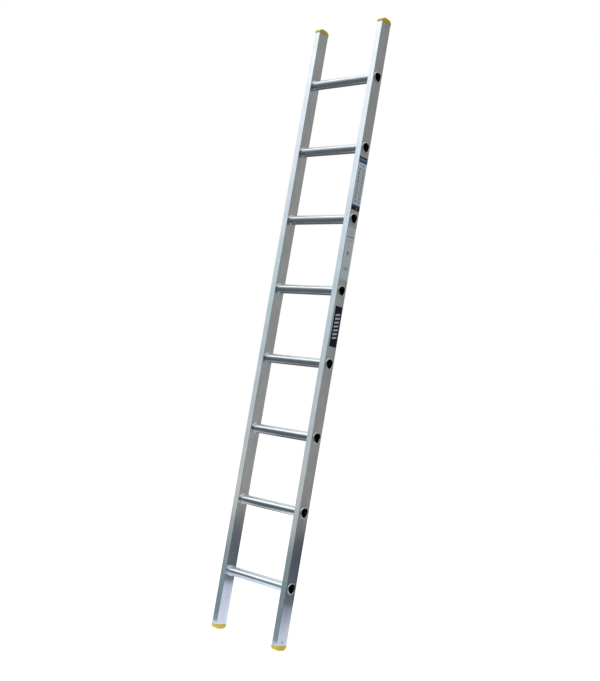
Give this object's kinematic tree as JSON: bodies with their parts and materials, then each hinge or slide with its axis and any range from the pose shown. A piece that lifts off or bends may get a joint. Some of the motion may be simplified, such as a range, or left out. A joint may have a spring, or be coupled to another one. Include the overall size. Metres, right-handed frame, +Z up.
{
  "type": "single-section ladder",
  "caption": "Straight aluminium ladder section with box stiles, swaged hollow rungs with rounded triangular section, yellow end plugs and plain labels.",
  "frame": {"origin": "on the floor, midway between the two feet, under the middle of the stiles' depth", "axes": "+X across the ladder towards the labelled stile, -Y towards the climber, +Z up along the stiles"},
  "size_m": [0.3148, 0.0492, 2.1615],
  "materials": {
    "stile": "mill-finish extrusion, faint lengthwise draw lines, light handling scratches",
    "rung": "ribbed extrusion, satin, swaged ends polished by the tool",
    "plug": "moulded yellow plastic, fine texture",
    "rivet": "plain domed blind rivet",
    "instruction_print": "printed silver film with dark blue bands",
    "pictogram_print": "printed silver film with grey blocks",
    "stripe_print": "printed black film with silver bars"
  },
  "bodies": {
    "root": {"stile_left": "stile", "stile_right": "stile", "rung_1": "rung", "rung_2": "rung", "rung_3": "rung", "rung_4": "rung", "rung_5": "rung", "rung_6": "rung", "rung_7": "rung", "rung_8": "rung", "foot_plug_left": "plug", "foot_plug_right": "plug", "top_plug_left": "plug", "top_plug_right": "plug", "foot_plug_left_rivet": "rivet", "foot_plug_right_rivet": "rivet", "top_plug_left_rivet": "rivet", "top_plug_right_rivet": "rivet", "instruction_label": "instruction_print", "pictogram_label": "pictogram_print", "stripe_label": "stripe_print"}
  },
  "joints": []
}
